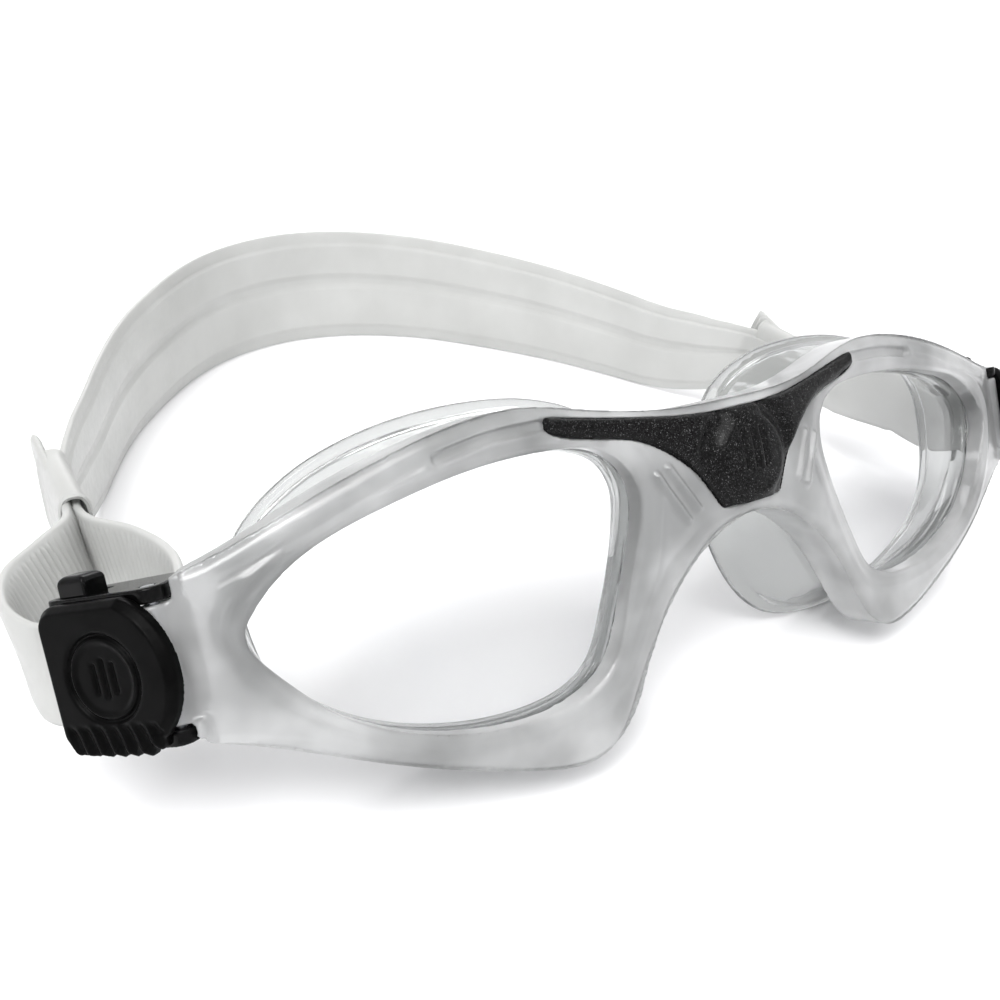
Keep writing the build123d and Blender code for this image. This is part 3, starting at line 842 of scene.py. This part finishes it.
MOUTH, REAR_MOUTH = 63.0, 78          # the keeper's two mouths, measured from the face
BEAD = [(0.0, 0.25), (0.35, 0.0), (0.35, 0.0), (0.7, 0.05), (1.2, 0.25)]
OUTER_HALF = (2.4, 7.6)               # half thickness and half height of the keeper outside
INNER_HALF = (1.75, 6.9)              # and of the passage through it


def sleeve(side):
    """A soft loop round the band's end and the tucked tail, with a bead at both mouths."""
    around = 72
    turns = np.linspace(0, 2 * math.pi, around, endpoint=False)
    c, s = np.cos(turns), np.sin(turns)
    shape = np.column_stack([np.sign(c) * np.abs(c) ** 0.7, np.sign(s) * np.abs(s) ** 0.45])
    outside = [(MOUTH + a, -b) for a, b in BEAD]
    outside += [(y, -0.3) for y in np.linspace(MOUTH + 2.5, REAR_MOUTH - 2.5, 10)]
    outside += [(REAR_MOUTH - a, -b) for a, b in BEAD[::-1]]
    rings = [(y, OUTER_HALF[0] + inset, OUTER_HALF[1] + inset) for y, inset in outside]
    rings += [(y, *INNER_HALF) for y in np.linspace(REAR_MOUTH - 0.2, MOUTH + 0.2, 14)]
    points = []
    for y, half_thick, half_high in rings:
        x = 77.2 + 0.035 * (y - 66) + shape[:, 0] * half_thick
        z = 16.6 + 0.06 * (y - 66) + shape[:, 1] * half_high
        points.append(np.column_stack([x, np.full(around, y - PLAN_MIDDLE), z]))
    points = np.vstack(points) / 1000
    return mirrored_piece(side, points, loop_faces(len(rings), around, closed_rings=True))


def strap_piece(name, mesh):
    """A piece of milky silicone."""
    return piece(name, *mesh, MILKY, "milky_strap", 60)


for name, side in SIDES:
    inner_end = ribbon(run_stations(), STRAP_THICK, ribbed, plain, STRAP_STEP, side)
    run = strap_piece(f"strap_inner_{name}", inner_end)
    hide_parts(f"strap_run_{name}")
    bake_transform(run)
    loose_end = ribbon(tail_stations(), STRAP_THICK, plain, ribbed, STRAP_STEP, side)
    tail = strap_piece(f"strap_end_{name}", loose_end)
    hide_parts(f"strap_tail_{name}")
    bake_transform(tail)
    keeper = strap_piece(f"keeper_{name}", sleeve(side))
    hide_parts(f"strap_keeper_{name}")
    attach(keeper, "front")

band = strap_piece("head_band", ribbon(band_stations(), BAND_THICK, banded, banded, BAND_STEP, 1, 64))
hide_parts("strap_band")
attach(band, "front")


# ---- floor, lights and camera -----------------------------------------------------------------

FLOOR_Z = -0.0002         # level with the lowest point of the skirts
FLOOR_R, WALL_TOP = 5.0, 4.0


def studio():
    """A pale floor that sweeps up into a pale wall all round."""
    profile = [(0.4, 0.0), (2.0, 0.0), (FLOOR_R, 0.0)]
    profile += [(FLOOR_R + math.sin(a), 1 - math.cos(a)) for a in np.linspace(0.1, math.pi / 2, 12)]
    profile.append((FLOOR_R + 1.0, WALL_TOP))
    around = 96
    points = [(0, 0, FLOOR_Z)]
    for r, z in profile:
        points += [(r * math.cos(a), r * math.sin(a), z + FLOOR_Z)
                   for a in np.linspace(0, 2 * math.pi, around, endpoint=False)]
    faces = [(0, 1 + j, 1 + (j + 1) % around) for j in range(around)]
    faces += [face[::-1] for face in loop_faces(len(profile), around, start=1)]
    mesh = bpy.data.meshes.new("studio_floor")
    mesh.from_pydata(points, [], faces)
    mesh.shade_smooth()
    floor = bpy.data.objects.new("studio_floor", mesh)
    bpy.context.scene.collection.objects.link(floor)
    paint = Finish("pale_floor", Roughness=0.9)
    paint.link(paint.ramp(paint.noise(4, 2), [(0.3, grey(0.90)), (0.7, grey(0.915))]), "Base Color")
    mesh.materials.append(paint.material)


def light(name, place_m, aim, size, power):
    """A rectangular area light; sizes in metres, power in watts."""
    data = bpy.data.lights.new(name, "AREA")
    data.shape = "RECTANGLE"
    data.size, data.size_y = size
    data.energy = power
    obj = bpy.data.objects.new(name, data)
    obj.location = place_m
    obj.rotation_euler = (Vector(aim) - Vector(place_m)).to_track_quat("-Z", "Y").to_euler()
    bpy.context.scene.collection.objects.link(obj)


AZIMUTH, ELEVATION, ROLL_ANGLE = -34.14, -29.26, 3.54    # the photograph's view, in degrees
CAMERA_AT = (-0.0885, -0.0605, 0.0884)                   # y is measured from the face
FOCAL, SENSOR = 32.4, 36                                 # mm


def camera():
    """The camera at the photograph's viewing angle."""
    azimuth, elevation, roll = (math.radians(a) for a in (AZIMUTH, ELEVATION, ROLL_ANGLE))
    forward = Vector((-math.sin(azimuth) * math.cos(elevation), math.cos(azimuth) * math.cos(elevation),
                      math.sin(elevation)))
    right = forward.cross(Vector((0, 0, 1))).normalized()
    up = right.cross(forward)
    tilted_right = right * math.cos(roll) + up * math.sin(roll)
    tilted_up = tilted_right.cross(forward)
    data = bpy.data.cameras.new("camera")
    data.sensor_width = SENSOR
    data.lens = FOCAL
    data.clip_start = 0.01
    obj = bpy.data.objects.new("camera", data)
    turn = Matrix((tilted_right, tilted_up, -forward)).transposed().to_4x4()
    x, y, z = CAMERA_AT
    obj.matrix_world = Matrix.Translation((x, y - PLAN_MIDDLE / 1000, z)) @ turn
    bpy.context.scene.collection.objects.link(obj)
    bpy.context.scene.camera = obj


def sun(name, direction, strength, angle):
    """A soft, even light from one direction; angle is its spread in degrees."""
    data = bpy.data.lights.new(name, "SUN")
    data.energy = strength
    data.angle = math.radians(angle)
    obj = bpy.data.objects.new(name, data)
    obj.rotation_euler = Vector(direction).to_track_quat("-Z", "Y").to_euler()
    bpy.context.scene.collection.objects.link(obj)


ROOM_LIGHT = 0.7


def room():
    """Plain white light from all round."""
    world = bpy.data.worlds.new("room")
    world.use_nodes = True
    background = world.node_tree.nodes["Background"]
    background.inputs["Color"].default_value = (1, 1, 1, 1)
    background.inputs["Strength"].default_value = ROOM_LIGHT
    bpy.context.scene.world = world


studio()
room()
sun("soft_top", (0.25, 0.35, -1.0), 1.9, 45)
light("key", (-0.35, -0.25, 0.6), (0, -0.05, 0.02), (0.2, 0.3), 1.6)
light("back", (0.25, 0.5, 0.45), (0, 0, 0.03), (0.5, 0.16), 1.4)
bpy.context.scene.view_settings.view_transform = "Standard"
camera()
